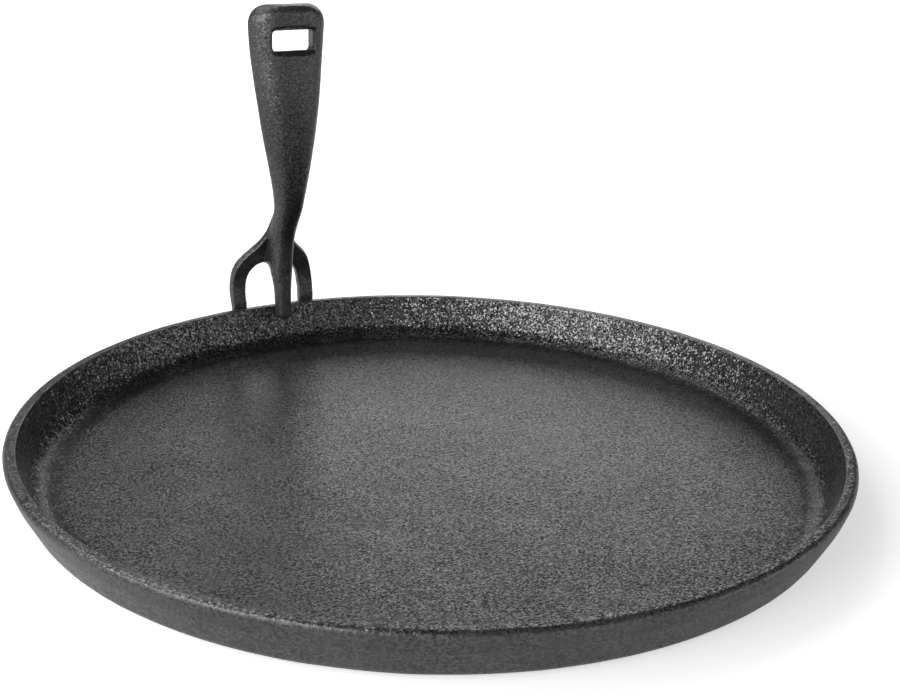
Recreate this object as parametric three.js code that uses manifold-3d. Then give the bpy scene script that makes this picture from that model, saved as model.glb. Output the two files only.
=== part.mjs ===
// A shallow round griddle pan of cast iron, with the loose lifting handle that hooks over its rim.
// Lengths are millimetres and +Z is up. The origin is the centre of the pan's flat foot. The handle
// stands over the rim on the +Y side, and both pieces are symmetric about the plane X = 0.

import * as THREE from "three";
import { mergeVertices } from "three/addons/utils/BufferGeometryUtils.js";
import Module from "manifold-3d";

const wasm = await Module();
wasm.setup();

// Driving sizes of the pan. Its profile is one revolved outline.
const rimRadius = 150;
const panHeight = 19.4;
const rimWidth = 4.4;
const rimOuterRound = 2;
const rimInnerRound = 0.6;
const upperBandHeight = 7.4;
const upperBandLean = 19.5;
const lowerBandLean = 27.5;
const bandRound = 6;
const footRound = 7;
const floorThickness = 3;
const innerWallLean = 18.5;
const coveRadius = 8;

// Driving sizes of the handle. Heights count from the plane of the rim's top, offsets from the
// circle of the rim's outer edge, positive outwards.
const seatGap = 0.4;
const handleTop = 132.8;
const tongueDepth = 3.8;
const tongueWidth = 6.6;
const tongueThickness = 5.8;
const tonguePlay = 4.5;
const crotchHeight = 19;
const crotchWidth = 9.2;
const crotchThickness = 9;
const crotchOffset = -8.8;
const neckHeight = 50;
const neckWidth = 12.4;
const neckThickness = 10.6;
const gripOffset = -18;
const gripWidth = 33.6;
const gripThickness = 13;
const topCornerRound = 8.4;
const topEdgeRound = 3.4;
const tongueTipRound = 1.7;
const prongWidth = 6.85;
const prongThickness = 3.6;
const forkWidth = 38.8;
const throatRound = 3.8;
const toeClearance = 0.8;
const slotWidth = 17.8;
const slotHeight = 9;
const slotCornerRound = 2.2;
const slotFlare = 1.8;
const slotDish = 3;
const slotWeb = 1.4;
const slotBelowTop = 14.2;

// How finely the round forms are cut.
const panSegments = 96;
const arcStepDegrees = 15;
const sectionSteps = 40;
const ringSpacing = 4.5;
const endRingCount = 4;
const cornerRingCount = 8;
const curveSteps = 3;
const cutOverrun = 10;

const degrees = THREE.MathUtils.degToRad;
const quarterTurn = Math.PI / 2;

// An outline whose corners are rounded by arcs that touch both of their edges.
function roundedOutline(corners) {
  const points = [];
  corners.forEach(({ at, round }, index) => {
    if (!round) {
      points.push(at);
      return;
    }
    const before = corners[index - 1].at;
    const after = corners[index + 1].at;
    const backwards = before.clone().sub(at).normalize();
    const forwards = after.clone().sub(at).normalize();
    const halfAngle = Math.acos(backwards.dot(forwards)) / 2;
    const middle = backwards.clone().add(forwards).normalize();
    const centre = at.clone().addScaledVector(middle, round / Math.sin(halfAngle));
    const start = at.clone().addScaledVector(backwards, round / Math.tan(halfAngle)).sub(centre);
    const turn = Math.PI - 2 * halfAngle;
    const sense = Math.sign(backwards.cross(forwards)) * -1;
    const steps = Math.ceil(turn / degrees(arcStepDegrees));
    for (let step = 0; step <= steps; step += 1) {
      const spoke = start.clone().rotateAround(new THREE.Vector2(), (sense * turn * step) / steps);
      points.push(spoke.add(centre));
    }
  });
  return points;
}

// A closed mesh from three.js as a solid that can be joined and cut.
function toSolid(geometry) {
  const bare = geometry.clone();
  bare.deleteAttribute("normal");
  bare.deleteAttribute("uv");
  const merged = mergeVertices(bare);
  const mesh = new wasm.Mesh({
    numProp: 3,
    vertProperties: new Float32Array(merged.getAttribute("position").array),
    triVerts: new Uint32Array(merged.getIndex().array),
  });
  return new wasm.Manifold(mesh);
}

function toGeometry(solid) {
  const mesh = solid.getMesh();
  const geometry = new THREE.BufferGeometry();
  geometry.setAttribute("position", new THREE.BufferAttribute(mesh.vertProperties, mesh.numProp));
  geometry.setIndex(new THREE.BufferAttribute(mesh.triVerts, 1));
  geometry.computeVertexNormals();
  return geometry;
}

// A closed skin over rings that hold equally many points, with a fan over each end.
function loft(rings) {
  const count = rings[0].length;
  const positions = [];
  const indices = [];
  rings.flat().forEach((point) => positions.push(point.x, point.y, point.z));
  for (let ring = 0; ring < rings.length - 1; ring += 1) {
    for (let index = 0; index < count; index += 1) {
      const here = ring * count + index;
      const next = ring * count + ((index + 1) % count);
      indices.push(here, next, next + count, here, next + count, here + count);
    }
  }
  [rings[0], rings[rings.length - 1]].forEach((ring, end) => {
    const middle = ring.reduce((sum, point) => sum.add(point), new THREE.Vector3()).divideScalar(count);
    const apex = positions.length / 3;
    positions.push(middle.x, middle.y, middle.z);
    const first = end * (rings.length - 1) * count;
    for (let index = 0; index < count; index += 1) {
      const here = first + index;
      const next = first + ((index + 1) % count);
      indices.push(...(end ? [apex, here, next] : [apex, next, here]));
    }
  });
  const geometry = new THREE.BufferGeometry();
  geometry.setAttribute("position", new THREE.Float32BufferAttribute(positions, 3));
  geometry.setIndex(indices);
  return geometry;
}

// The outer wall's corners. The rim's rounded edge reaches out to the rim's radius.
const rimHalfAngle = (quarterTurn - degrees(upperBandLean)) / 2;
const rimCornerRadius = rimRadius - rimOuterRound + rimOuterRound / Math.tan(rimHalfAngle);
const bandHeight = panHeight - upperBandHeight;
const bandRadius = rimCornerRadius - upperBandHeight * Math.tan(degrees(upperBandLean));
const footRadius = bandRadius - bandHeight * Math.tan(degrees(lowerBandLean));

// The pan: a flat foot, a wall in two bands, a flat rim, a sloping inner wall, a cove and a floor.
function panGeometry() {
  const rimInnerRadius = rimRadius - rimWidth;
  const innerWallRun = (panHeight - floorThickness) * Math.tan(degrees(innerWallLean));
  const corners = [
    { at: new THREE.Vector2(0, 0) },
    { at: new THREE.Vector2(footRadius, 0), round: footRound },
    { at: new THREE.Vector2(bandRadius, bandHeight), round: bandRound },
    { at: new THREE.Vector2(rimCornerRadius, panHeight), round: rimOuterRound },
    { at: new THREE.Vector2(rimInnerRadius, panHeight), round: rimInnerRound },
    { at: new THREE.Vector2(rimInnerRadius - innerWallRun, floorThickness), round: coveRadius },
    { at: new THREE.Vector2(0, floorThickness) },
  ];
  const geometry = new THREE.LatheGeometry(roundedOutline(corners), panSegments);
  return geometry.rotateX(quarterTurn);
}

// The handle's section is a crowned bar: deep and narrowing towards the pan, shallow and flat behind.
// The offsets are those of the line where the front meets the back. The narrowing is given for the
// grip, and thinner places have less of it.
const frontFullness = 3.2;
const backFullness = 5;
const frontDepthShare = 0.72;
const frontTaperShare = 0.26;
const tongueOffset = -(rimWidth + tonguePlay + tongueThickness * (1 - frontDepthShare));

// The places along the handle's spine where its section is given, from the tongue's tip upwards.
// The shares count along the grip from the neck to the top.
const gripLength = handleTop - neckHeight;
const bellyHeightShare = 0.4;
const bellyWidthShare = 0.72;
const bellyOffsetShare = 1.09;
const shoulderHeightShare = 0.76;
const shoulderWidthShare = 0.94;
const tongueHeightShare = 0.5;
const tongueTaperShare = 0.25;
const neckStartShare = 0.5;
const neckOffsetShare = 0.2;
const neckStartWidthShare = 0.82;
const stations = [
  { height: -tongueDepth, offset: tongueOffset, width: tongueWidth, thickness: tongueThickness },
  {
    height: crotchHeight * tongueHeightShare,
    offset: tongueOffset + (crotchOffset - tongueOffset) * tongueTaperShare,
    width: tongueWidth + (crotchWidth - tongueWidth) * tongueTaperShare,
    thickness: tongueThickness + (crotchThickness - tongueThickness) * tongueTaperShare,
  },
  { height: crotchHeight, offset: crotchOffset, width: crotchWidth, thickness: crotchThickness },
  {
    height: crotchHeight + (neckHeight - crotchHeight) * neckStartShare,
    offset: crotchOffset + (gripOffset - crotchOffset) * neckOffsetShare,
    width: neckWidth * neckStartWidthShare,
    thickness: neckThickness,
  },
  { height: neckHeight, offset: gripOffset, width: neckWidth, thickness: neckThickness },
  {
    height: neckHeight + gripLength * bellyHeightShare,
    offset: gripOffset * bellyOffsetShare,
    width: gripWidth * bellyWidthShare,
    thickness: gripThickness,
  },
  {
    height: neckHeight + gripLength * shoulderHeightShare,
    offset: gripOffset,
    width: gripWidth * shoulderWidthShare,
    thickness: gripThickness,
  },
  { height: handleTop, offset: gripOffset, width: gripWidth, thickness: gripThickness },
];

// A smooth value between the stations: a cubic through each, its slope taken from both neighbours.
function stationValue(key, height) {
  const last = stations.length - 1;
  const found = stations.findIndex((station) => station.height > height);
  const upper = found < 1 ? last : found;
  const low = stations[upper - 1];
  const high = stations[upper];
  const slope = (index) => {
    const before = stations[Math.max(index - 1, 0)];
    const after = stations[Math.min(index + 1, last)];
    return (after[key] - before[key]) / (after.height - before.height);
  };
  const span = high.height - low.height;
  const share = (height - low.height) / span;
  const square = share * share;
  const cube = square * share;
  const lowSlope = (cube - 2 * square + share) * span * slope(upper - 1);
  const highSlope = (cube - square) * span * slope(upper);
  const between = low[key] + (3 * square - 2 * cube) * (high[key] - low[key]);
  return between + lowSlope + highSlope;
}

// How far a rounded end draws in at a distance from that end.
function endInset(distance, radius) {
  if (distance >= radius) {
    return 0;
  }
  return radius - Math.sqrt(radius * radius - (radius - distance) ** 2);
}

function handleSection(height) {
  const toTop = handleTop - height;
  const toTip = height + tongueDepth;
  const tipInset = endInset(toTip, tongueTipRound);
  const halfWidth = stationValue("width", height) / 2 - endInset(toTop, topCornerRound) - tipInset;
  const thickness = stationValue("thickness", height);
  const frontDepth = thickness * frontDepthShare - endInset(toTop, topEdgeRound) - tipInset;
  const backDepth = thickness * (1 - frontDepthShare) - endInset(toTop, topEdgeRound) - tipInset;
  const offset = stationValue("offset", height);
  const taperShare = frontTaperShare * Math.min(1, thickness / gripThickness);
  const ring = [];
  for (let step = 0; step < sectionSteps; step += 1) {
    const angle = (2 * Math.PI * step) / sectionSteps;
    const isFront = Math.sin(angle) < 0;
    const fullness = isFront ? frontFullness : backFullness;
    const depth = isFront ? frontDepth : backDepth;
    const across = Math.sign(Math.cos(angle)) * Math.abs(Math.cos(angle)) ** (2 / fullness);
    const through = Math.sign(Math.sin(angle)) * Math.abs(Math.sin(angle)) ** (2 / fullness);
    const narrowing = isFront ? 1 - taperShare * Math.abs(through) : 1;
    ring.push(new THREE.Vector3(halfWidth * across * narrowing, offset + depth * through, height));
  }
  return ring;
}

// The heights of the rings: close together in the rounded ends, evenly spaced between them.
function ringHeights() {
  const heights = [];
  for (let step = 0; step < endRingCount; step += 1) {
    const lift = 1 - Math.cos((quarterTurn * step) / endRingCount);
    heights.push(-tongueDepth + tongueTipRound * lift);
  }
  const low = -tongueDepth + tongueTipRound;
  const high = handleTop - topCornerRound;
  const spans = Math.ceil((high - low) / ringSpacing);
  for (let span = 0; span <= spans; span += 1) {
    heights.push(low + ((high - low) * span) / spans);
  }
  for (let step = cornerRingCount - 1; step >= 0; step -= 1) {
    const drop = 1 - Math.cos((quarterTurn * step) / cornerRingCount);
    heights.push(handleTop - topCornerRound * drop);
  }
  return heights;
}

// The hanging slot: a rounded rectangle through the grip. It narrows through a dished border to a
// thin web near the front, and opens again towards the back.
function slotGeometry() {
  const height = handleTop - slotBelowTop;
  const offset = stationValue("offset", height);
  const thickness = stationValue("thickness", height);
  const front = offset - thickness * frontDepthShare;
  const back = offset + thickness * (1 - frontDepthShare);
  const ring = (place, flare) => {
    const halfWidth = slotWidth / 2 + flare;
    const halfHeight = slotHeight / 2 + flare;
    const shape = new THREE.Shape();
    const round = slotCornerRound;
    shape.absarc(halfWidth - round, halfHeight - round, round, 0, quarterTurn);
    shape.absarc(round - halfWidth, halfHeight - round, round, quarterTurn, quarterTurn * 2);
    shape.absarc(round - halfWidth, round - halfHeight, round, quarterTurn * 2, quarterTurn * 3);
    shape.absarc(halfWidth - round, round - halfHeight, round, quarterTurn * 3, quarterTurn * 4);
    const points = shape.getPoints(endRingCount);
    return points.map((point) => new THREE.Vector3(point.x, place, height + point.y));
  };
  const rings = [
    ring(back + cutOverrun, slotFlare),
    ring(back, slotFlare),
    ring(front + slotDish + slotWeb, 0),
    ring(front + slotDish, 0),
    ring(front, slotFlare),
    ring(front - cutOverrun, slotFlare),
  ];
  return loft(rings);
}

// One prong is where two forms cross: the arch seen from the pan's centre, and a band turned about
// the pan's axis, so that the prong follows the rim's curve. The band leaves the neck outwards, runs
// down the wall and ends in a toe under its slope. Its inner side is plumb beside the rim, down to the
// knee where it turns in along the upper wall. The hood draws the arch's outer edge in and down
// towards the front, like a casting's draft. A web joins the band to the neck above the crotch, and
// ends over the rim in a round against the neck.
const archOuterShares = [
  [1, 0],
  [1, 0.5],
  [0.92, 0.96],
  [0.8, 1.23],
  [0.58, 1.52],
  [0.43, 1.77],
  [0.32, 2.1],
  [0.28, 2.5],
  [0.25, 3.05],
  [0.22, 3.7],
];
const archInnerShares = [
  [1, 0],
  [1, 0.38],
  [0.91, 0.7],
  [0.67, 0.92],
  [0.38, 1],
  [0, 1],
];
const barShares = [
  [0, 0.1, 1],
  [0.12, 0.45, 1],
  [0.09, 0.78, 1],
  [-0.12, 1.08, 1],
  [-0.38, 1.34, 1],
  [-0.66, 1.62, 0.95],
  [-0.9, 1.95, 0.85],
  [-1.28, 2.35, 0.82],
  [-1.62, 2.75, 0.7],
  [-1.95, 3.3, 0.4],
];

const sideDraftShare = 0.12;
const topDraftShare = 0.4;
const webWidthShare = 0.92;
const webTop = 8;
const plainExtrusion = { bevelEnabled: false, curveSegments: curveSteps };
const shapePoint = (across, up) => new THREE.Vector2(across, up * crotchHeight);

function prongSolid() {
  const halfFork = forkWidth / 2;
  const nearReach = halfFork - prongWidth;
  const bottom = toeClearance - panHeight;
  const arch = new THREE.Shape();
  arch.moveTo(halfFork, bottom);
  arch.lineTo(halfFork, 0);
  arch.splineThru(archOuterShares.slice(1).map(([x, z]) => shapePoint(x * halfFork, z)));
  const inner = archInnerShares.map(([x, z]) => shapePoint(x * nearReach, z)).reverse();
  arch.lineTo(-tongueWidth / 2, arch.currentPoint.y);
  arch.lineTo(-tongueWidth / 2, inner[0].y);
  arch.lineTo(inner[0].x, inner[0].y);
  arch.splineThru(inner.slice(1));
  arch.lineTo(inner[inner.length - 1].x, bottom);
  arch.lineTo(halfFork, bottom);
  const hood = new THREE.Shape();
  hood.moveTo(halfFork, bottom);
  hood.lineTo(halfFork, 0);
  hood.splineThru(archOuterShares.slice(1).map(([x, z]) => shapePoint(x * halfFork, z)));
  hood.lineTo(-tongueWidth, hood.currentPoint.y);
  hood.lineTo(-tongueWidth, bottom);
  hood.lineTo(halfFork, bottom);
  const archLength = -gripOffset + prongThickness + cutOverrun;
  const front = new THREE.ExtrudeGeometry(arch, { ...plainExtrusion, depth: archLength * 2 });
  const cover = new THREE.ExtrudeGeometry(hood, { ...plainExtrusion, depth: archLength * 2 });
  const frontTurn = new THREE.Matrix4().makeBasis(
    new THREE.Vector3(1, 0, 0),
    new THREE.Vector3(0, 0, 1),
    new THREE.Vector3(0, -1, 0),
  );
  front.applyMatrix4(frontTurn).translate(0, archLength, 0);
  cover.applyMatrix4(frontTurn).translate(0, archLength - prongThickness, 0);
  const draft = new THREE.Matrix4().makeShear(0, 0, sideDraftShare, topDraftShare, 0, 0);
  cover.applyMatrix4(draft).translate(0, prongThickness, 0);

  const seat = seatGap;
  const bandSeat = bandRadius - rimRadius + seatGap / Math.cos(degrees(lowerBandLean));
  const toeSeat = bandSeat - (bandHeight - toeClearance) * Math.tan(degrees(lowerBandLean));
  const kneeDrop = (rimCornerRadius - rimRadius) / Math.tan(degrees(upperBandLean));
  const run = -tongueOffset;
  const inside = barShares.map(([y, z]) => shapePoint(seat + y * run, z));
  const outside = inside.map((point, index) => {
    const before = inside[Math.max(index - 1, 0)];
    const after = inside[Math.min(index + 1, inside.length - 1)];
    const along = after.clone().sub(before).normalize();
    const thickness = prongThickness * barShares[index][2];
    return new THREE.Vector2(point.x + along.y * thickness, point.y - along.x * thickness);
  });
  const band = new THREE.Shape();
  band.moveTo(toeSeat, bottom);
  band.lineTo(toeSeat + prongThickness, bottom);
  band.lineTo(bandSeat + prongThickness, -upperBandHeight);
  band.lineTo(outside[0].x, outside[0].y);
  band.splineThru(outside.slice(1));
  const top = inside[inside.length - 1];
  band.lineTo(top.x, top.y);
  band.splineThru(inside.slice(0, -1).reverse());
  band.lineTo(seat, -kneeDrop);
  band.lineTo(bandSeat, -upperBandHeight);
  band.lineTo(toeSeat, bottom);
  const profile = band.getPoints(curveSteps);
  profile.forEach((point) => point.setX(point.x + rimRadius));
  const turned = new THREE.LatheGeometry(profile, panSegments);
  turned.rotateX(quarterTurn).translate(0, -rimRadius, 0);

  const webFoot = crotchHeight - throatRound;
  const backDepth = stationValue("thickness", webFoot) * (1 - frontDepthShare);
  const webBack = stationValue("offset", webFoot) + backDepth;
  const rise = inside.map((point, index) => point.clone().add(outside[index]).divideScalar(2));
  const web = new THREE.Shape();
  web.moveTo(stationValue("offset", webFoot), webFoot);
  web.lineTo(webBack, webFoot);
  web.absarc(webBack + throatRound, webFoot, throatRound, 2 * quarterTurn, quarterTurn, true);
  web.lineTo(seat, crotchHeight);
  const reached = rise.filter((point, index) => point.y > crotchHeight && index <= webTop);
  reached.forEach((point) => web.lineTo(point.x, point.y));
  reached.reverse().forEach((point) => web.lineTo(stationValue("offset", point.y), point.y));
  const webWidth = crotchWidth * webWidthShare;
  const webBlock = new THREE.ExtrudeGeometry(web, { ...plainExtrusion, depth: webWidth });
  const sideTurn = new THREE.Matrix4().makeBasis(
    new THREE.Vector3(0, 1, 0),
    new THREE.Vector3(0, 0, 1),
    new THREE.Vector3(1, 0, 0),
  );
  webBlock.applyMatrix4(sideTurn).translate(-webWidth / 2, 0, 0);
  const prong = toSolid(front).intersect(toSolid(cover)).intersect(toSolid(turned));
  return prong.add(toSolid(webBlock));
}

// The handle in one casting: tongue, neck and grip as one loft, two prongs, and the slot cut out.
function handleGeometry() {
  const prong = prongSolid();
  const grip = toSolid(loft(ringHeights().map(handleSection)));
  const fork = grip.add(prong).add(prong.mirror([1, 0, 0]));
  return toGeometry(fork.subtract(toSolid(slotGeometry())));
}

const pan = new THREE.Mesh(
  panGeometry(),
  new THREE.MeshStandardMaterial({ color: 0x3b3b3d, roughness: 0.62, metalness: 0.55 }),
);
pan.name = "griddle_pan";

const handle = new THREE.Mesh(
  handleGeometry(),
  new THREE.MeshStandardMaterial({ color: 0x38393b, roughness: 0.55, metalness: 0.55 }),
);
handle.name = "lifting_handle";
handle.position.set(0, rimRadius, panHeight);

const griddle = new THREE.Group();
griddle.add(pan, handle);

export default griddle;
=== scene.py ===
# %% [markdown]
# # A cast iron griddle pan with a lifting handle
# The object is two castings: a shallow round pan, and a loose handle whose fork hooks over the
# pan's rim. The measured CAD model comes first and is never moved. Each casting then gets a finer
# skin of its own, built in the same frame in metres, and that skin takes the CAD solid's place.
# What makes cast iron look like cast iron is its grain. It is coarse where loose sand touched the
# metal, and finer on the floor and the rim, which were brushed or ground after casting.

# %% Load the measured model
from math import acos, ceil, cos, pi, radians, sin, sqrt, tan

import bmesh
import bpy
from mathutils import Matrix, Vector, noise


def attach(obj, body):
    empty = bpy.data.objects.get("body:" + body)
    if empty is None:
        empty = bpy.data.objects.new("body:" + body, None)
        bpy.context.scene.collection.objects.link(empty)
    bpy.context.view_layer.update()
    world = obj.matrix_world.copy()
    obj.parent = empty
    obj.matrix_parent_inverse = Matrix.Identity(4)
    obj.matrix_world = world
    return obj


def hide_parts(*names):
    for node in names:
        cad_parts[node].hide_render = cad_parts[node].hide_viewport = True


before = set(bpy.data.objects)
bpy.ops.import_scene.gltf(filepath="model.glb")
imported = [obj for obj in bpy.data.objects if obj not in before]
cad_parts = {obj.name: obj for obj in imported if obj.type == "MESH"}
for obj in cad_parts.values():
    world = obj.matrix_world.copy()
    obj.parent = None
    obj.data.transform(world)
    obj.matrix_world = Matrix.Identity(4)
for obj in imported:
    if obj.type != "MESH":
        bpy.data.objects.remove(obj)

mm = 0.001
bpy.context.view_layer.update()

# %% [markdown]
# ## The pan's measured sizes
# A pan like this is poured in sand, and its shape is one outline turned about an axis. These are
# the outline's sizes: the rim's flat top, two outer bands that lean differently, a sloping inner
# wall, and the radii at each corner. They are the same as the CAD model's.

# %% Sizes of the pan
rim_radius = 149.98 * mm
pan_height = 19.4 * mm
rim_width = 4.4 * mm
rim_outer_round = 2 * mm
rim_inner_round = 0.6 * mm
upper_band_height = 7.4 * mm
upper_band_lean = radians(19.5)
lower_band_lean = radians(27.5)
band_round = 6 * mm
foot_round = 7 * mm
floor_thickness = 3 * mm
inner_wall_lean = radians(18.5)
cove_radius = 8 * mm

rim_corner_radius = rim_radius - rim_outer_round + rim_outer_round / tan((pi / 2 - upper_band_lean) / 2)
band_radius = rim_corner_radius - upper_band_height * tan(upper_band_lean)
foot_radius = band_radius - (pan_height - upper_band_height) * tan(lower_band_lean)
rim_inner_radius = rim_radius - rim_width
floor_radius = rim_inner_radius - (pan_height - floor_thickness) * tan(inner_wall_lean)
print("foot radius %.1f mm, floor radius %.1f mm" % (foot_radius / mm, floor_radius / mm))

# %% [markdown]
# ## The camera
# The photograph was fitted with a camera of its own: about 58 mm of lens, four pan radii away,
# looking down at some 20 degrees. The handle stands on the pan's +Y side, so the camera looks from
# the left of the front. Its axes are worked out from the tilt and written as one matrix.

# %% Place the camera
photo_width_pixels = 900
lens_pixels = 1460.53
sensor_width = 36
nearest, farthest = 0.01, 20
look_at = Vector((5.33, 74.87, 19.4)) * mm
distance = 600 * mm
pitch = 0.341962
roll = radians(1.7538)
turn = Matrix.Rotation(radians(-29.6), 3, "Z")

back = Vector((0, -cos(pitch), sin(pitch)))
level = Vector((1, 0, 0))
upright = Vector((0, sin(pitch), cos(pitch)))
right = turn @ (cos(roll) * level + sin(roll) * upright)
up = turn @ (cos(roll) * upright - sin(roll) * level)
back = turn @ back
eye = turn @ look_at + back * distance

camera_data = bpy.data.cameras.new("camera")
camera_data.sensor_width = sensor_width
camera_data.lens = lens_pixels / photo_width_pixels * sensor_width
camera_data.clip_start, camera_data.clip_end = nearest, farthest
camera = bpy.data.objects.new("camera", camera_data)
bpy.context.collection.objects.link(camera)
camera.matrix_world = Matrix((
    (right.x, up.x, back.x, eye.x),
    (right.y, up.y, back.y, eye.y),
    (right.z, up.z, back.z, eye.z),
    (0, 0, 0, 1),
))
bpy.context.scene.camera = camera
print("camera lens %.1f mm, eye %s" % (camera_data.lens, [round(v, 3) for v in eye]))

# %% [markdown]
# ## Outlines with rounded corners
# A casting has no sharp corner, because sand crumbles and hot iron tears there. A corner that is
# listed with a radius is replaced by an arc that touches both of its edges. The points of the arc
# lie close together, so that the finished surface shades without facets.

# %% A helper for rounded outlines
arc_step = radians(5)


def rounded(corners):
    points = []
    for index, (x, y, radius) in enumerate(corners):
        at = Vector((x, y))
        if not radius:
            points.append(at)
            continue
        to_before = (Vector(corners[index - 1][:2]) - at).normalized()
        to_after = (Vector(corners[(index + 1) % len(corners)][:2]) - at).normalized()
        half = acos(max(-1, min(1, to_before.dot(to_after)))) / 2
        centre = at + (to_before + to_after).normalized() * (radius / sin(half))
        first = at + to_before * (radius / tan(half)) - centre
        sense = -1 if to_before.cross(to_after) > 0 else 1
        steps = max(2, ceil((pi - 2 * half) / arc_step))
        for step in range(steps + 1):
            angle = sense * (pi - 2 * half) * step / steps
            points.append(centre + Matrix.Rotation(angle, 2) @ first)
    return points


pan_outline = rounded([
    (0, 0, 0),
    (foot_radius, 0, foot_round),
    (band_radius, pan_height - upper_band_height, band_round),
    (rim_corner_radius, pan_height, rim_outer_round),
    (rim_inner_radius, pan_height, rim_inner_round),
    (floor_radius, floor_thickness, cove_radius),
    (0, floor_thickness, 0),
])
print("outline of the pan: %d points" % len(pan_outline))

# %% [markdown]
# ## The pan's skin
# The outline becomes a row of edges, and the spin operator turns it once about the axis. Doubles
# are merged at the two poles, and the normals are worked out again because a spin can leave them
# inside out. Long straight runs are split first, so that the mesh has points enough to bend. A
# cylinder could be pushed into shape too, but the outline keeps every size in one list.

# %% Spin the pan
longest_run = 4 * mm
turn_steps = 360
merge_distance = 0.001 * mm

pan_mesh = bmesh.new()
before = None
for here, after in zip(pan_outline, pan_outline[1:]):
    runs = max(1, ceil((after - here).length / longest_run))
    for run in range(runs):
        spot = here.lerp(after, run / runs)
        vert = pan_mesh.verts.new((spot.x, 0, spot.y))
        if before:
            pan_mesh.edges.new((before, vert))
        before = vert
last = pan_mesh.verts.new((0, 0, floor_thickness))
pan_mesh.edges.new((before, last))
bmesh.ops.spin(
    pan_mesh, geom=pan_mesh.verts[:] + pan_mesh.edges[:], cent=(0, 0, 0), axis=(0, 0, 1),
    angle=2 * pi, steps=turn_steps, use_merge=True, use_duplicate=False,
)
bmesh.ops.remove_doubles(pan_mesh, verts=pan_mesh.verts[:], dist=merge_distance)
bmesh.ops.recalc_face_normals(pan_mesh, faces=pan_mesh.faces[:])
pan_mesh.normal_update()
print("pan: %d faces, closed %s" % (len(pan_mesh.faces), all(e.is_manifold for e in pan_mesh.edges)))

# %% [markdown]
# ## The waviness of a sand mould
# A mould that was rammed by hand is never quite even. Points are moved along their normals by slow
# noise with a quicker ripple in it, which is enough to make long highlights waver. They only ever
# move inwards, so that the skin stays within its measured size, and the foot stays flat. Sculpting
# could do it too, but noise gives the same skin each time.
# The finished skin then takes the CAD solid's place, and moves with the solid's body.

# %% Make the skin uneven and keep the pan
wave_depth = 0.16 * mm
wave_length = 17 * mm
ripple_share, ripple_rate = 0.5, 2.3
wave_middle, wave_gain = 0.5, 0.6
flat_foot = 0.3 * mm


def uneven(mesh, depth, length, is_free):
    for vert in mesh.verts:
        if is_free(vert.co):
            ripple = ripple_share * noise.noise(vert.co * ripple_rate / length)
            swell = noise.noise(vert.co / length) + ripple
            vert.co -= vert.normal * depth * min(1, max(0, wave_middle + wave_gain * swell))


def make_piece(name, mesh, node, body):
    data = bpy.data.meshes.new(name)
    mesh.to_mesh(data)
    mesh.free()
    for polygon in data.polygons:
        polygon.use_smooth = True
    piece = bpy.data.objects.new(name, data)
    bpy.context.collection.objects.link(piece)
    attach(piece, body)
    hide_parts(node)
    return piece


uneven(pan_mesh, wave_depth, wave_length, lambda co: co.z > flat_foot)
pan = make_piece("cast_pan", pan_mesh, "griddle_pan", "pan")
print("pan box", [round(v / mm, 2) for v in pan.dimensions])

# %% [markdown]
# ## The handle's spine
# The grip, the neck and the tongue are one bar whose section changes all the way up. A foundry
# pattern maker would carve it by checking the section at a few heights, and that is how it is made
# here. Between two listed heights each size runs on a smooth curve, so the flanks have no kinks.

# %% Sizes of the handle's sections
handle_top = 132.8 * mm
tongue_depth = 3.8 * mm
grip_thickness = 13 * mm
# Each section: height over the rim, distance outwards from the rim's edge, width and thickness.
sections = [tuple(v * mm for v in row) for row in (
    (-3.8, -10.52, 6.6, 5.8),
    (9.5, -10.09, 7.25, 6.6),
    (19, -8.8, 9.2, 9),
    (34.5, -10.64, 10.17, 10.6),
    (50, -18, 12.4, 10.6),
    (83.12, -19.62, 24.4, 13),
    (112.93, -18, 31.8, 13),
    (132.8, -18, 34, 13),
)]


def section_value(key, height):
    rows = [(row[0], row[key]) for row in sections]
    upper = next((i for i, row in enumerate(rows) if row[0] > height), len(rows) - 1)
    upper = max(upper, 1)
    slopes = []
    for index in (upper - 1, upper):
        a, b = rows[max(index - 1, 0)], rows[min(index + 1, len(rows) - 1)]
        slopes.append((b[1] - a[1]) / (b[0] - a[0]))
    (low_z, low), (high_z, high) = rows[upper - 1], rows[upper]
    span = high_z - low_z
    t = (height - low_z) / span
    ease = 3 * t * t - 2 * t ** 3
    bend = (t ** 3 - 2 * t * t + t) * slopes[0] + (t ** 3 - t * t) * slopes[1]
    return low + ease * (high - low) + span * bend


print("grip is %.1f mm wide at the top" % (section_value(2, handle_top) / mm))

# %% [markdown]
# ## The shape of one section
# A section is neither a box nor an ellipse. The front, which faces the pan, is crowned, and the back
# is nearly flat. One formula covers every section: a cosine and a sine are raised to a power, and the
# greater the fullness, the squarer the curve. A bevelled box would need other bevels at each height.
# Near the top and the tip the section also draws in, which rounds the ends.

# %% One point of a section
front_share = 0.72
front_fullness = 3.2
back_fullness = 5
front_taper_share = 0.26
top_corner_round = 8.4 * mm
top_edge_round = 3.4 * mm
tip_round = 1.7 * mm


def drawn_in(distance, radius):
    return 0 if distance >= radius else radius - sqrt(radius ** 2 - (radius - distance) ** 2)


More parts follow.
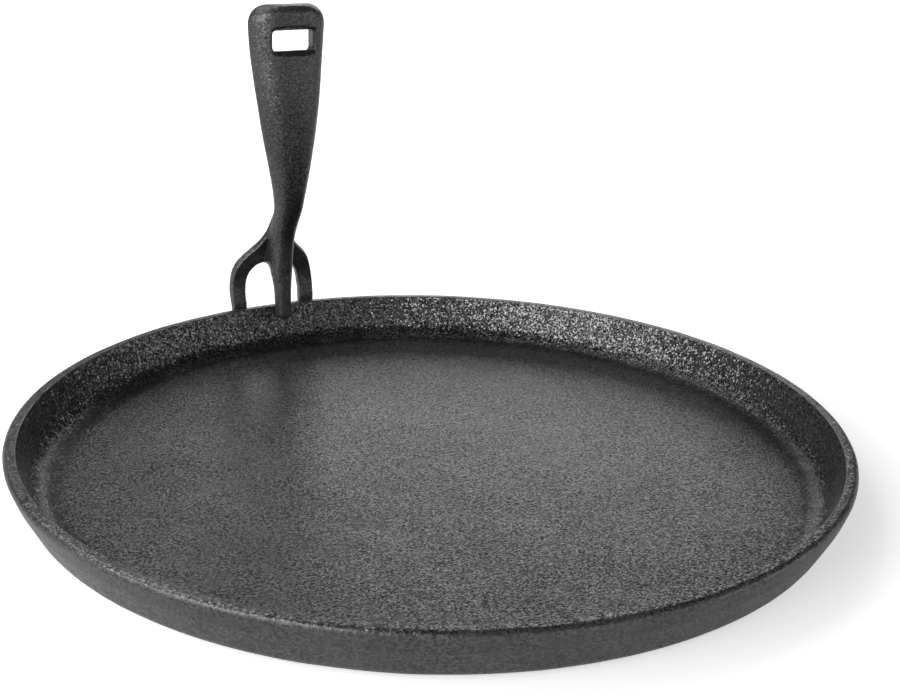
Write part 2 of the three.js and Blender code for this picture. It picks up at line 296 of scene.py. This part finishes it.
def section_point(height, angle):
    to_top = handle_top - height
    tip = drawn_in(height + tongue_depth, tip_round)
    half_width = section_value(2, height) / 2 - drawn_in(to_top, top_corner_round) - tip
    thickness = section_value(3, height)
    is_front = sin(angle) < 0
    depth = thickness * (front_share if is_front else 1 - front_share)
    depth -= drawn_in(to_top, top_edge_round) + tip
    fullness = front_fullness if is_front else back_fullness
    across = (1 if cos(angle) > 0 else -1) * abs(cos(angle)) ** (2 / fullness)
    through = (1 if sin(angle) > 0 else -1) * abs(sin(angle)) ** (2 / fullness)
    y = rim_radius + section_value(1, height) + depth * through
    if is_front:
        across *= 1 - front_taper_share * abs(through) * min(1, thickness / grip_thickness)
    return Vector((half_width * across, y, pan_height + height))


print("front at half height, in mm:", [round(v / mm, 1) for v in section_point(handle_top / 2, -pi / 2)])

# %% [markdown]
# ## Extrude the bar ring by ring
# One circle is shaped to the lowest section. Its edges are then extruded again and again, and each
# new ring is shaped to the section at its own height. The rings crowd together in the rounded
# ends. Both ends are closed by a face over the last ring.

# %% Loft the grip, neck and tongue
ring_points = 72
ring_gap = 1.2 * mm
tip_rings = 8
corner_rings = 14


def shape_ring(verts, height):
    for index, vert in enumerate(verts):
        vert.co = section_point(height, 2 * pi * index / ring_points)


def rise_in_round(step, rings):
    return 1 - cos(pi / 2 * step / rings)


heights = [-tongue_depth + tip_round * rise_in_round(step, tip_rings) for step in range(tip_rings)]
low, high = -tongue_depth + tip_round, handle_top - top_corner_round
count = ceil((high - low) / ring_gap)
heights += [low + (high - low) * step / count for step in range(count + 1)]
for step in range(corner_rings - 1, -1, -1):
    heights.append(handle_top - top_corner_round * rise_in_round(step, corner_rings))

bar_mesh = bmesh.new()
ring = bmesh.ops.create_circle(bar_mesh, cap_ends=True, segments=ring_points, radius=1)["verts"]
shape_ring(ring, heights[0])
edges = bar_mesh.edges[:]
for height in heights[1:]:
    made = bmesh.ops.extrude_edge_only(bar_mesh, edges=edges)["geom"]
    edges = [item for item in made if isinstance(item, bmesh.types.BMEdge)]
    ring = [item for item in made if isinstance(item, bmesh.types.BMVert)]
    shape_ring(ring, height)
bmesh.ops.contextual_create(bar_mesh, geom=edges)
bmesh.ops.recalc_face_normals(bar_mesh, faces=bar_mesh.faces[:])
print("bar: %d faces, closed %s" % (len(bar_mesh.faces), all(e.is_manifold for e in bar_mesh.edges)))

# %% [markdown]
# ## Modifiers for a moment
# A bmesh has no modifiers, so a Boolean or a remesh needs an object for a moment. These helpers make
# a passing object, take its result back as a bmesh, and clear the object away. The MANIFOLD solver
# is quick and hands back a closed mesh when it is given closed ones.

# %% Helpers for modifiers
def temporary(mesh, name):
    data = bpy.data.meshes.new(name)
    mesh.to_mesh(data)
    mesh.free()
    thing = bpy.data.objects.new(name, data)
    bpy.context.collection.objects.link(thing)
    return thing


def finished_mesh(thing):
    depsgraph = bpy.context.evaluated_depsgraph_get()
    mesh = bmesh.new()
    mesh.from_mesh(bpy.data.meshes.new_from_object(thing.evaluated_get(depsgraph)))
    return mesh


def boolean(target, tool, operation):
    cut = target.modifiers.new(operation, "BOOLEAN")
    cut.operation = operation
    cut.object = tool
    cut.solver = "MANIFOLD"
    result = finished_mesh(target)
    bpy.data.objects.remove(target)
    bpy.data.objects.remove(tool)
    print("%s: %d faces" % (operation.lower(), len(result.faces)))
    return result

# %% [markdown]
# ## Cut the hanging slot
# The grip has a slot for a wall hook. On the casting its edge is dished on both faces, where the
# two halves of the core met the mould. The cutter starts as one face with rounded corners, and is
# extruded through the grip: wide, then narrow, then wide again. A Boolean modifier takes it away.

# %% Make and use the slot's cutter
slot_width = 17.9 * mm
slot_height = 8.0 * mm
slot_corner = 1.5 * mm
slot_corner_steps = 6
slot_flare = 1.8 * mm
slot_dish = 3 * mm
slot_web = 1.2 * mm
slot_below_top = 14.1 * mm
past = 8 * mm
slot_z = handle_top - slot_below_top
middle_y = rim_radius + section_value(1, slot_z)
front_y = middle_y - front_share * section_value(3, slot_z)
back_y = middle_y + (1 - front_share) * section_value(3, slot_z)

cutter = bmesh.new()
bmesh.ops.create_grid(cutter, x_segments=1, y_segments=1, size=0.5)
bmesh.ops.scale(cutter, vec=(slot_width, slot_height, 1), verts=cutter.verts[:])
bmesh.ops.bevel(
    cutter, geom=cutter.verts[:], offset=slot_corner, affect="VERTICES",
    segments=slot_corner_steps, profile=0.5, material=-1,
)
bmesh.ops.rotate(cutter, cent=(0, 0, 0), matrix=Matrix.Rotation(pi / 2, 3, "X"), verts=cutter.verts[:])
bmesh.ops.translate(cutter, vec=(0, front_y - past, pan_height + slot_z), verts=cutter.verts[:])
wide = Vector(((slot_width + 2 * slot_flare) / slot_width, 1, (slot_height + 2 * slot_flare) / slot_height))
narrow = Vector((1 / wide.x, 1, 1 / wide.z))
centre = Matrix.Translation((0, 0, -(pan_height + slot_z)))
bmesh.ops.scale(cutter, vec=wide, space=centre, verts=cutter.verts[:])
steps = (
    (past, None), (slot_dish, narrow), (slot_web, None),
    (back_y - front_y - slot_dish - slot_web, wide), (past, None),
)
face = cutter.faces[:]
for number, (length, resize) in enumerate(steps):
    made = bmesh.ops.extrude_face_region(cutter, geom=face)["geom"]
    if number:
        bmesh.ops.delete(cutter, geom=face, context="FACES_ONLY")
    face = [item for item in made if isinstance(item, bmesh.types.BMFace)]
    verts = [item for item in made if isinstance(item, bmesh.types.BMVert)]
    bmesh.ops.translate(cutter, vec=(0, length, 0), verts=verts)
    if resize:
        bmesh.ops.scale(cutter, vec=resize, space=centre, verts=verts)
bmesh.ops.recalc_face_normals(cutter, faces=cutter.faces[:])
print("cutter: %d faces, closed %s" % (len(cutter.faces), all(e.is_manifold for e in cutter.edges)))
bar_mesh = boolean(temporary(bar_mesh, "bar"), temporary(cutter, "cutter"), "DIFFERENCE")

# %% [markdown]
# ## The fork's two prongs
# The neck splits into two prongs that pass outside the rim and run down the pan's wall, while the
# tongue stays inside. Pull down on the grip and the three of them clamp the rim. A prong curves in
# two directions at once, so it is made where two forms cross. The first is the arch that is seen
# from the pan's centre. Only one side is drawn, because the fork is the same on both sides.

# %% Outline of the arch
prong_width = 6.85 * mm
half_fork = 19.4 * mm
toe_clearance = 0.8 * mm
crotch_height = 19 * mm
tongue_half = 3.3 * mm
near_reach = half_fork - prong_width
bottom = toe_clearance - pan_height
below = 2 * bottom
# Each pair is a share of half the fork's width, or of its near reach, and of the crotch's height.
arch_outer_shares = (
    (1, 0.5), (0.92, 0.96), (0.8, 1.23), (0.58, 1.52), (0.43, 1.77),
    (0.32, 2.1), (0.28, 2.5), (0.25, 3.05), (0.22, 3.7),
)
arch_inner_shares = ((0, 1), (0.38, 1), (0.67, 0.92), (0.91, 0.7), (1, 0.38), (1, 0))


def smooth_run(points, steps=6):
    run = []
    for index in range(len(points) - 1):
        p0 = points[max(index - 1, 0)]
        p1, p2 = points[index], points[index + 1]
        p3 = points[min(index + 2, len(points) - 1)]
        for step in range(steps):
            t = step / steps
            into, out = (p2 - p0) / 2, (p3 - p1) / 2
            run.append(p1 * (2 * t ** 3 - 3 * t * t + 1) + into * (t ** 3 - 2 * t * t + t)
                       + p2 * (3 * t * t - 2 * t ** 3) + out * (t ** 3 - t * t))
    return run + [points[-1]]


outer = [Vector((half_fork, 0))] + [Vector((x * half_fork, z * crotch_height)) for x, z in arch_outer_shares]
inner = [Vector((x * near_reach, z * crotch_height)) for x, z in arch_inner_shares]
arch = [Vector((half_fork, below))] + smooth_run(outer)
hood = arch + [Vector((-2 * tongue_half, outer[-1].y)), Vector((-2 * tongue_half, below))]
arch += [Vector((-tongue_half, outer[-1].y)), Vector((-tongue_half, inner[0].y))]
arch += smooth_run(inner) + [Vector((near_reach, below))]
print("arch %d points, fork %.1f mm wide" % (len(arch), 2 * half_fork / mm))

# %% [markdown]
# ## The band that hugs the wall
# The second form is a thin band, drawn from the side: up along the pan's two outer bands with a
# small gap, over the rim and in to the neck. Turned about the pan's axis it curves just as the pan
# does. A straight prong would touch the round pan along one line only.

# %% Outline of the band
seat_gap = 0.4 * mm
prong_thickness = 3.6 * mm
tongue_run = 10.52 * mm
# Each row is a share of the run in to the tongue, of the crotch's height and of the thickness.
band_shares = (
    (0, 0.1, 1), (0.12, 0.45, 1), (0.09, 0.78, 1), (-0.12, 1.08, 1), (-0.38, 1.34, 1),
    (-0.66, 1.62, 0.95), (-0.9, 1.95, 0.85), (-1.28, 2.35, 0.82), (-1.62, 2.75, 0.7), (-1.95, 3.3, 0.4),
)

band_seat = band_radius - rim_radius + seat_gap / cos(lower_band_lean)
toe_seat = band_seat - (pan_height - upper_band_height - toe_clearance) * tan(lower_band_lean)
knee_drop = (rim_corner_radius - rim_radius) / tan(upper_band_lean)
inside = [Vector((seat_gap + y * tongue_run, z * crotch_height)) for y, z, _ in band_shares]
outside = []
for index, spot in enumerate(inside):
    along = (inside[min(index + 1, len(inside) - 1)] - inside[max(index - 1, 0)]).normalized()
    outside.append(spot + Vector((along.y, -along.x)) * prong_thickness * band_shares[index][2])
band = [
    Vector((toe_seat, bottom)), Vector((toe_seat + prong_thickness, bottom)),
    Vector((band_seat + prong_thickness, -upper_band_height)),
]
band += smooth_run(outside) + smooth_run(inside[::-1])
band += [Vector((seat_gap, -knee_drop)), Vector((band_seat, -upper_band_height))]
print("band %d points, its toe is %.1f mm in from the rim's edge" % (len(band), -toe_seat / mm))

# %% [markdown]
# ## The web over the rim
# Above the rim the fork and the neck grow together. A web fills the space between them, and its
# lower edge is rounded where it meets the neck, because a sharp inside corner in a casting cracks.
# The outline is drawn from the side: round the throat, up the middle of the band, and back down the
# middle of the neck.

# %% Outline of the web
throat_round = 3.8 * mm
throat_steps = 8
web_half = 4.2 * mm
web_rows = slice(3, 9)
web_foot = crotch_height - throat_round
neck_back = section_value(1, web_foot) + (1 - front_share) * section_value(3, web_foot)
web = [Vector((section_value(1, web_foot), web_foot))]
for step in range(throat_steps + 1):
    angle = pi - pi / 2 * step / throat_steps
    swing = Vector((cos(angle), sin(angle))) * throat_round
    web.append(Vector((neck_back + throat_round, web_foot)) + swing)
web.append(Vector((seat_gap, crotch_height)))
rise = [(a + b) / 2 for a, b in zip(inside[web_rows], outside[web_rows])]
web += rise + [Vector((section_value(1, spot.y), spot.y)) for spot in rise[::-1]]
print("web %d points, its foot is %.1f mm over the rim" % (len(web), web_foot / mm))

# %% [markdown]
# ## Cross the forms
# The arch is extruded towards the neck and the band is spun about the pan's axis. A Boolean keeps
# what both share. A third form, the hood, has only the arch's outer edge, and it is sheared so that
# this edge sinks and draws in towards the front. That is the draft by which the pattern leaves the
# sand, and it makes the sloping shoulders that catch the light.

# %% Extrude, spin and keep what they share
reach = 40 * mm
spread = radians(13)
spin_steps = 24
side_draft_share, top_draft_share = 0.12, 0.4


def extruded(outline, place, direction, name):
    mesh = bmesh.new()
    face = mesh.faces.new([mesh.verts.new(place(spot)) for spot in outline])
    made = bmesh.ops.extrude_face_region(mesh, geom=[face])["geom"]
    bmesh.ops.translate(mesh, vec=direction, verts=[v for v in made if isinstance(v, bmesh.types.BMVert)])
    bmesh.ops.recalc_face_normals(mesh, faces=mesh.faces[:])
    return temporary(mesh, name)


def seen_from_front(spot):
    return (spot.x, rim_radius - reach, pan_height + spot.y)


arch_block = extruded(arch, seen_from_front, (0, 2 * reach, 0), "arch")
hood_block = extruded(hood, seen_from_front, (0, 2 * reach, 0), "hood")
draft = Matrix.Identity(4)
draft[0][1], draft[2][1] = side_draft_share, top_draft_share
to_back = Matrix.Translation((0, rim_radius + prong_thickness, 0))
hood_block.data.transform(to_back @ draft @ to_back.inverted())

turned = bmesh.new()
loop = [turned.verts.new((rim_radius + spot.x, 0, pan_height + spot.y)) for spot in band]
start = [turned.edges.new((a, b)) for a, b in zip(loop, loop[1:] + loop[:1])]
bmesh.ops.rotate(turned, cent=(0, 0, 0), matrix=Matrix.Rotation(pi / 2 - spread, 3, "Z"), verts=loop)
made = bmesh.ops.spin(
    turned, geom=loop + start, cent=(0, 0, 0), axis=(0, 0, 1), angle=2 * spread, steps=spin_steps,
    use_merge=False, use_duplicate=False,
)["geom_last"]
bmesh.ops.contextual_create(turned, geom=start)
bmesh.ops.contextual_create(turned, geom=[item for item in made if isinstance(item, bmesh.types.BMEdge)])
bmesh.ops.recalc_face_normals(turned, faces=turned.faces[:])
print("band: %d faces, closed %s" % (len(turned.faces), all(e.is_manifold for e in turned.edges)))

under_hood = temporary(boolean(arch_block, hood_block, "INTERSECT"), "under hood")
prong_mesh = boolean(under_hood, temporary(turned, "band"), "INTERSECT")
everything = prong_mesh.verts[:] + prong_mesh.edges[:] + prong_mesh.faces[:]
bmesh.ops.mirror(prong_mesh, geom=everything, axis="X", merge_dist=-1)
bmesh.ops.recalc_face_normals(prong_mesh, faces=prong_mesh.faces[:])
print("prongs: %d faces, closed %s" % (len(prong_mesh.faces), all(e.is_manifold for e in prong_mesh.edges)))

# %% [markdown]
# ## Melt the bar and the prongs into one casting
# Four closed shells now cross each other. A voxel remesh wraps them in one even skin, as iron
# fills one cavity. Smoothing that skin a few times rounds every edge and fills every corner a
# little, which is just what a foundry's fillets do. The place where the prongs, the web and the neck
# meet gets a few rounds more, as a pattern maker would put a wider fillet there. A slow waviness is
# added last.

# %% Remesh, smooth and keep the handle
voxel = 0.42 * mm
smooth_rounds = 4
junction_low, junction_high = 22 * mm, 62 * mm
junction_rounds = 8
handle_wave_depth = 0.12 * mm
handle_wave_length = 9 * mm


def soften(mesh, verts, rounds):
    for _ in range(rounds):
        bmesh.ops.smooth_vert(
            mesh, verts=verts, factor=0.5, use_axis_x=True, use_axis_y=True, use_axis_z=True)


web_block = extruded(
    web, lambda spot: (-web_half, rim_radius + spot.x, pan_height + spot.y), (2 * web_half, 0, 0), "web",
)
joined = bmesh.new()
for shell in (temporary(bar_mesh, "bar"), temporary(prong_mesh, "prongs"), web_block):
    joined.from_mesh(shell.data)
    bpy.data.objects.remove(shell)
shells = temporary(joined, "shells")
wrap = shells.modifiers.new("wrap", "REMESH")
wrap.mode = "VOXEL"
wrap.voxel_size = voxel
handle_mesh = finished_mesh(shells)
bpy.data.objects.remove(shells)
soften(handle_mesh, handle_mesh.verts[:], smooth_rounds)
junction = [v for v in handle_mesh.verts if junction_low < v.co.z - pan_height < junction_high]
soften(handle_mesh, junction, junction_rounds)
handle_mesh.normal_update()
uneven(handle_mesh, handle_wave_depth, handle_wave_length, lambda co: True)
print("handle: %d faces, closed %s" % (len(handle_mesh.faces), all(e.is_manifold for e in handle_mesh.edges)))
handle = make_piece("lifting_handle_skin", handle_mesh, "lifting_handle", "handle")
print("handle box", [round(v / mm, 2) for v in handle.dimensions])

# %% [markdown]
# ## Shader nodes in short words
# A surface is described by a net of shader nodes, which could be wired by hand in the editor. Most
# of these helpers write one node each, so that the cells below read like a recipe. Every pattern on
# the iron starts from object coordinates: the grain has its real size, does not stretch at the poles,
# and stays on the handle when the handle is lifted.

# %% Helpers for shader nodes
def link(tree, node, socket, value):
    if isinstance(value, bpy.types.NodeSocket):
        tree.links.new(value, node.inputs[socket])
    else:
        node.inputs[socket].default_value = value


def new_node(tree, kind, settings=None, **inputs):
    node = tree.nodes.new(kind)
    for name, value in (settings or {}).items():
        setattr(node, name, value)
    for name, value in inputs.items():
        link(tree, node, int(name[1:]) if name[0] == "_" else name.replace("_", " "), value)
    return node


def grain_noise(tree, place, size, detail=2.0, roughness=0.5):
    node = new_node(
        tree, "ShaderNodeTexNoise", Vector=place, Scale=1 / size, Detail=detail, Roughness=roughness)
    return node.outputs[0]


def ramp(tree, value, low, high, start, end, smooth=True):
    kind = {"interpolation_type": "SMOOTHSTEP" if smooth else "LINEAR"}
    return new_node(tree, "ShaderNodeMapRange", kind, _0=value, _1=low, _2=high, _3=start, _4=end).outputs[0]


def blend(tree, share, start, end):
    return ramp(tree, share, 0.0, 1.0, start, end, smooth=False)


def maths(tree, operation, a, b=0.0, c=0.0):
    return new_node(tree, "ShaderNodeMath", {"operation": operation}, _0=a, _1=b, _2=c).outputs[0]


def vector_maths(tree, operation, a, b, output="Vector"):
    return new_node(tree, "ShaderNodeVectorMath", {"operation": operation}, _0=a, _1=b).outputs[output]


def from_axis(tree, place):
    parts = new_node(tree, "ShaderNodeSeparateXYZ", Vector=place)
    squares = maths(tree, "MULTIPLY", parts.outputs[1], parts.outputs[1])
    return maths(tree, "SQRT", maths(tree, "MULTIPLY_ADD", parts.outputs[0], parts.outputs[0], squares))


def height_of(tree, place):
    return new_node(tree, "ShaderNodeSeparateXYZ", Vector=place).outputs[2]


def new_material(name):
    material = bpy.data.materials.new(name)
    material.use_nodes = True
    tree = material.node_tree
    shader = tree.nodes["Principled BSDF"]
    place = new_node(tree, "ShaderNodeTexCoord").outputs["Object"]
    print("material:", name)
    return material, tree, shader, place

# %% [markdown]
# ## Cast iron as a surface
# Bare iron that has been oiled and baked is nearly black, with a soft sheen, so it is a dark metal
# here. Sand grains leave it covered with small flat facets that each lean their own way. They are
# the cells of a Voronoi pattern, and the random colour of each cell sets its lean, so that single
# facets catch a lamp and glint. The steeper they lean and the lower the roughness, the more the
# surface glitters. Fine light and dark spots lie on top, because burnt oil sits in the hollows and
# crests are rubbed bare. The lightest spots are then lifted further as painted glints, light that is
# painted into the colour. Slower noise makes the spots gather here and thin out there, and makes
# whole patches lighter or darker. Modelled grains would take millions of faces, and a picture of
# iron would show its edges where it is wrapped round the pan.
# Leans and sheens come in pairs, for the smooth and the coarse stretches of one surface.

# %% A helper that makes a cast skin
facet_share = 0.8
sand_share, sand_depth_share, sand_detail = 0.9, 0.15, 1.0
fine_detail, fine_roughness = 2.0, 0.7
spot_range = (0.4, 0.6)
glint_range, painted_glint_gain = (0.6, 0.7), 0.4
cluster_size, cluster_range, cluster_gains = 9 * mm, (0.35, 0.65), (0.6, 1.3)
patch_size, patch_detail, patch_roughness = 34 * mm, 3.0, 0.6
patch_range, patch_tones = (0.3, 0.7), (0.4, 0.6)
coarse_lift = 0.1
metal_share = 0.85


def cast_height(tree, place, grain, lean_share):
    cells = new_node(tree, "ShaderNodeTexVoronoi", Vector=place, Scale=1 / (facet_share * grain)).outputs
    lean = vector_maths(tree, "SUBTRACT", cells["Color"], (0.5, 0.5, 0.5))
    arm = vector_maths(tree, "SUBTRACT", place, cells["Position"])
    facet = vector_maths(tree, "DOT_PRODUCT", lean, arm, "Value")
    facet_height = maths(tree, "MULTIPLY", facet, lean_share)
    sand = grain_noise(tree, place, grain * sand_share, sand_detail)
    return maths(tree, "MULTIPLY_ADD", sand, grain * sand_depth_share, facet_height)


def cast_tone(tree, place, grain, speckle):
    fine = grain_noise(tree, place, grain, fine_detail, fine_roughness)
    spots = ramp(tree, fine, *spot_range, -speckle, speckle)
    # Painted glints: the lightest spots are lifted further still, light painted into the colour.
    painted_glints = ramp(tree, fine, *glint_range, 0.0, painted_glint_gain)
    both = maths(tree, "ADD", spots, painted_glints)
    clusters = ramp(tree, grain_noise(tree, place, cluster_size), *cluster_range, *cluster_gains)
    slow = grain_noise(tree, place, patch_size, patch_detail, patch_roughness)
    patches = ramp(tree, slow, *patch_range, *patch_tones)
    return maths(tree, "ADD", maths(tree, "MULTIPLY", both, clusters), patches)


def cast_skin(name, dark, light, grain, leans, sheens, speckle, coarseness=None, painted_shading=None):
    material, tree, shader, place = new_material(name)
    coarse = coarseness(tree, place) if coarseness else 0.0
    height = cast_height(tree, place, grain, blend(tree, coarse, *leans))
    bump = new_node(tree, "ShaderNodeBump", Height=height, Strength=1.0, Distance=1.0)
    tone = cast_tone(tree, place, grain, speckle)
    # Where it is given, this is painted shade subtracted from the tone, or painted light where it is below
    # zero.
    if painted_shading:
        lifted = maths(tree, "MULTIPLY_ADD", coarse, coarse_lift, tone)
        tone = maths(tree, "SUBTRACT", lifted, painted_shading(tree, place))
    colour = new_node(tree, "ShaderNodeMix", {"data_type": "RGBA"}, _0=tone, _6=dark, _7=light).outputs[2]
    tree.links.new(bump.outputs[0], shader.inputs["Normal"])
    tree.links.new(colour, shader.inputs["Base Color"])
    link(tree, shader, "Roughness", blend(tree, coarse, *sheens) if coarseness else sheens[0])
    shader.inputs["Metallic"].default_value = metal_share
    return material


print("patches %.0f mm and clusters %.0f mm across" % (patch_size / mm, cluster_size / mm))

# %% [markdown]
# ## Where the iron is coarse, and where shade and light are painted
# The sloping inner wall kept its coarse sand skin, which is a touch lighter, and the floor was
# brushed. The change lies in the cove, which is also darkened in a ring of painted shade. Outside,
# the lower band is pitted and the upper one is smoother. On the handle, the neck is darkened with
# painted shade, and the fork is lightened with painted light. All of this could be painted by hand.
# Here it follows the distance from the axis and the height, which is how the coarse and pitted
# zones lie on the real casting.

# %% Coarse zones, painted shade and painted light
coarse_start, coarse_full = 137.5 * mm, 140.5 * mm
ring_start, ring_full = 128 * mm, 135 * mm
ring_fading, ring_end = 140 * mm, 142.5 * mm
# How deep the cove's ring of painted shade goes.
ring_shade_depth = 0.55
pitted_top, smooth_bottom = 11 * mm, 13 * mm
fork_top, neck_bottom = 42 * mm, 55 * mm
neck_top, grip_bottom = 100 * mm, 122 * mm
# Painted light on the fork, where the value is below zero, and painted shade on the neck.
fork_painted_light, neck_painted_shade = -0.18, 0.25


def wall_share(tree, place):
    return ramp(tree, from_axis(tree, place), coarse_start, coarse_full, 0.0, 1.0)


def band_share(tree, place):
    return ramp(tree, height_of(tree, place), pitted_top, smooth_bottom, 1.0, 0.0)


# A ring of painted shade: the tone is darkened in the cove, between the floor and the wall.
def cove_painted_shade(tree, place):
    radius = from_axis(tree, place)
    starting = ramp(tree, radius, ring_start, ring_full, 0.0, ring_shade_depth)
    return maths(tree, "MULTIPLY", starting, ramp(tree, radius, ring_fading, ring_end, 1.0, 0.0))


# Painted shade and light on the handle: the tone is darker on the neck and lighter on the fork, by height.
def handle_painted_shading(tree, place):
    height = height_of(tree, place)
    starting = ramp(tree, height, fork_top, neck_bottom, fork_painted_light, neck_painted_shade)
    return maths(tree, "MULTIPLY", starting, ramp(tree, height, neck_top, grip_bottom, 1.0, 0.0))


inside_iron = cast_skin(
    "pan inside, sand grain", dark=(0.025, 0.025, 0.026, 1), light=(0.190, 0.190, 0.192, 1), grain=0.9 * mm,
    leans=(0.2, 0.6), sheens=(0.36, 0.23), speckle=0.55, coarseness=wall_share, painted_shading=cove_painted_shade)
outside_iron = cast_skin(
    "pan outside, speckled", dark=(0.050, 0.050, 0.051, 1), light=(0.130, 0.130, 0.132, 1), grain=1.1 * mm,
    leans=(0.1, 0.32), sheens=(0.42, 0.38), speckle=0.3, coarseness=band_share)
rim_iron = cast_skin(
    "rim, ground smooth", dark=(0.050, 0.050, 0.051, 1), light=(0.190, 0.190, 0.192, 1), grain=0.9 * mm,
    leans=(0.3, 0.3), sheens=(0.31, 0.31), speckle=0.4)
handle_iron = cast_skin(
    "handle, fine sand grain", dark=(0.045, 0.045, 0.046, 1), light=(0.115, 0.115, 0.117, 1), grain=0.9 * mm,
    leans=(0.3, 0.3), sheens=(0.36, 0.36), speckle=0.27, painted_shading=handle_painted_shading)
print("cove ring from %.0f to %.1f mm off the axis" % (ring_start / mm, ring_end / mm))

# %% [markdown]
# ## Give each face its finish
# The rim's flat top was ground, so it has a finish of its own. Faces could be picked by hand, but a
# rule sorts fifty thousand of them at once. It asks where a face lies and which way it looks: what
# looks up inside the rim is the inside, and all the rest is the outside.

# %% Assign the finishes
rim_low = 18.6 * mm
rim_margin = 0.1 * mm
inside_margin = 0.3 * mm
floor_margin = 0.6 * mm
least_upward = 0.05
inside_slot, outside_slot, rim_slot = range(3)


def finish_of(polygon):
    radius, height = polygon.center.xy.length, polygon.center.z
    if height > rim_low and radius > rim_inner_radius - rim_margin:
        return rim_slot
    looks_up = polygon.normal.z > least_upward
    over_floor = height > floor_thickness - floor_margin
    if looks_up and over_floor and radius < rim_inner_radius + inside_margin:
        return inside_slot
    return outside_slot


for material in (inside_iron, outside_iron, rim_iron):
    pan.data.materials.append(material)
tally = [0, 0, 0]
for polygon in pan.data.polygons:
    polygon.material_index = finish_of(polygon)
    tally[polygon.material_index] += 1
handle.data.materials.append(handle_iron)
print("faces inside, outside and on the rim:", tally)

# %% [markdown]
# ## The white table
# The photograph was taken on a white sweep, which is a large floor here. It takes the pan's soft
# shadow. To the camera it also glows, near the pan less than far out, so that it comes out white
# without more light on the iron. In the iron's reflections it glows much more weakly.

# %% Lay the floor
floor_half = 6
floor_colour = (0.86, 0.86, 0.86, 1)
floor_roughness = 0.9
glow_near, glow_far, glow_mirrored = 0.57, 1.0, 0.22
near_radius, far_radius = 0.35, 1.2

floor_mesh = bmesh.new()
bmesh.ops.create_grid(floor_mesh, x_segments=1, y_segments=1, size=floor_half)
floor = temporary(floor_mesh, "floor")
floor_paint, tree, shader, place = new_material("white sweep")
shader.inputs["Base Color"].default_value = floor_colour
shader.inputs["Roughness"].default_value = floor_roughness
rays = new_node(tree, "ShaderNodeLightPath").outputs
mirrored = maths(tree, "MULTIPLY", rays["Is Glossy Ray"], glow_mirrored)
pale = ramp(tree, from_axis(tree, place), near_radius, far_radius, glow_near, glow_far)
shown = maths(tree, "MULTIPLY_ADD", rays["Is Camera Ray"], pale, mirrored)
glow = new_node(tree, "ShaderNodeEmission", Color=(1, 1, 1, 1), Strength=shown)
both = new_node(tree, "ShaderNodeAddShader", _0=shader.outputs[0], _1=glow.outputs[0])
tree.links.new(both.outputs[0], tree.nodes["Material Output"].inputs[0])
floor.data.materials.append(floor_paint)
print("floor: %.0f m wide" % (2 * floor_half))

# %% [markdown]
# ## Four soft lamps
# Dark iron shows its lamps rather than its colour, so each lamp was placed by what mirrors it. A
# softbox stands at the left front, and a smaller lamp hangs high at the left back. A low panel behind
# the pan is mirrored as the broad sheen on its floor, with the handle's dark reflection in it. A wide
# and weak panel stands at the right.
# A lamp's place is the side that it stands on, where 0 is the camera's side and -90 its left, its
# height in degrees, and its distance from the pan's middle. Its distance and size are in metres.

# %% Hang the lamps
def lamp(name, side, height, distance, width, tall, watts):
    side, height = radians(side), radians(height)
    out = turn @ Vector((sin(side) * cos(height), -cos(side) * cos(height), sin(height)))
    data = bpy.data.lights.new(name, "AREA")
    data.shape = "RECTANGLE"
    data.size, data.size_y = width, tall
    data.energy = watts
    thing = bpy.data.objects.new(name, data)
    thing.matrix_world = Matrix.Translation(out * distance) @ out.to_track_quat("Z", "Y").to_matrix().to_4x4()
    bpy.context.collection.objects.link(thing)
    print("%s at %s" % (name, [round(v, 2) for v in out * distance]))


lamp("side softbox", side=-50, height=27, distance=1.4, width=1.5, tall=0.8, watts=18)
lamp("top lamp", side=-128, height=52, distance=1.3, width=1.1, tall=0.8, watts=5.5)
lamp("back panel", side=176, height=18.5, distance=2.0, width=1.1, tall=0.65, watts=4.3)
lamp("right panel", side=88, height=12, distance=2.0, width=1.8, tall=0.8, watts=5)

# %% [markdown]
# ## The white room
# To the camera the room is an even, faintly cool white. To the iron it is brightest near the horizon
# in front, dimmer towards the back, and almost dark overhead, as a studio is. All of it is worked out
# from the direction in which a ray leaves the scene, where a surrounding picture would be one more
# file to carry.

# %% Light the room
room_colour = (0.98, 0.99, 1, 1)
brightest_way = Vector((-0.09, -1, 0))
dimmest, brightest = -0.6, 0.9
back_level, front_level = 0.2, 0.95
overhead_level, overhead_climb = 0.08, 0.6

world = bpy.data.worlds.new("room")
world.use_nodes = True
bpy.context.scene.world = world
tree = world.node_tree
sky = tree.nodes["Background"]
sky.inputs[0].default_value = room_colour
way = new_node(tree, "ShaderNodeTexCoord").outputs["Generated"]
towards_front = vector_maths(tree, "DOT_PRODUCT", way, turn @ brightest_way, "Value")
horizon = ramp(tree, towards_front, dimmest, brightest, back_level, front_level)
low_share = ramp(tree, height_of(tree, way), 0.0, overhead_climb, 1.0, 0.0)
over_dark = maths(tree, "SUBTRACT", horizon, overhead_level)
room = maths(tree, "MULTIPLY_ADD", over_dark, low_share, overhead_level)
seen = new_node(tree, "ShaderNodeLightPath").outputs["Is Camera Ray"]
tree.links.new(maths(tree, "MAXIMUM", seen, room), sky.inputs[1])
bpy.context.scene.view_settings.view_transform = "Standard"
print("room light from %.2f at the back to %.2f in front" % (back_level, front_level))
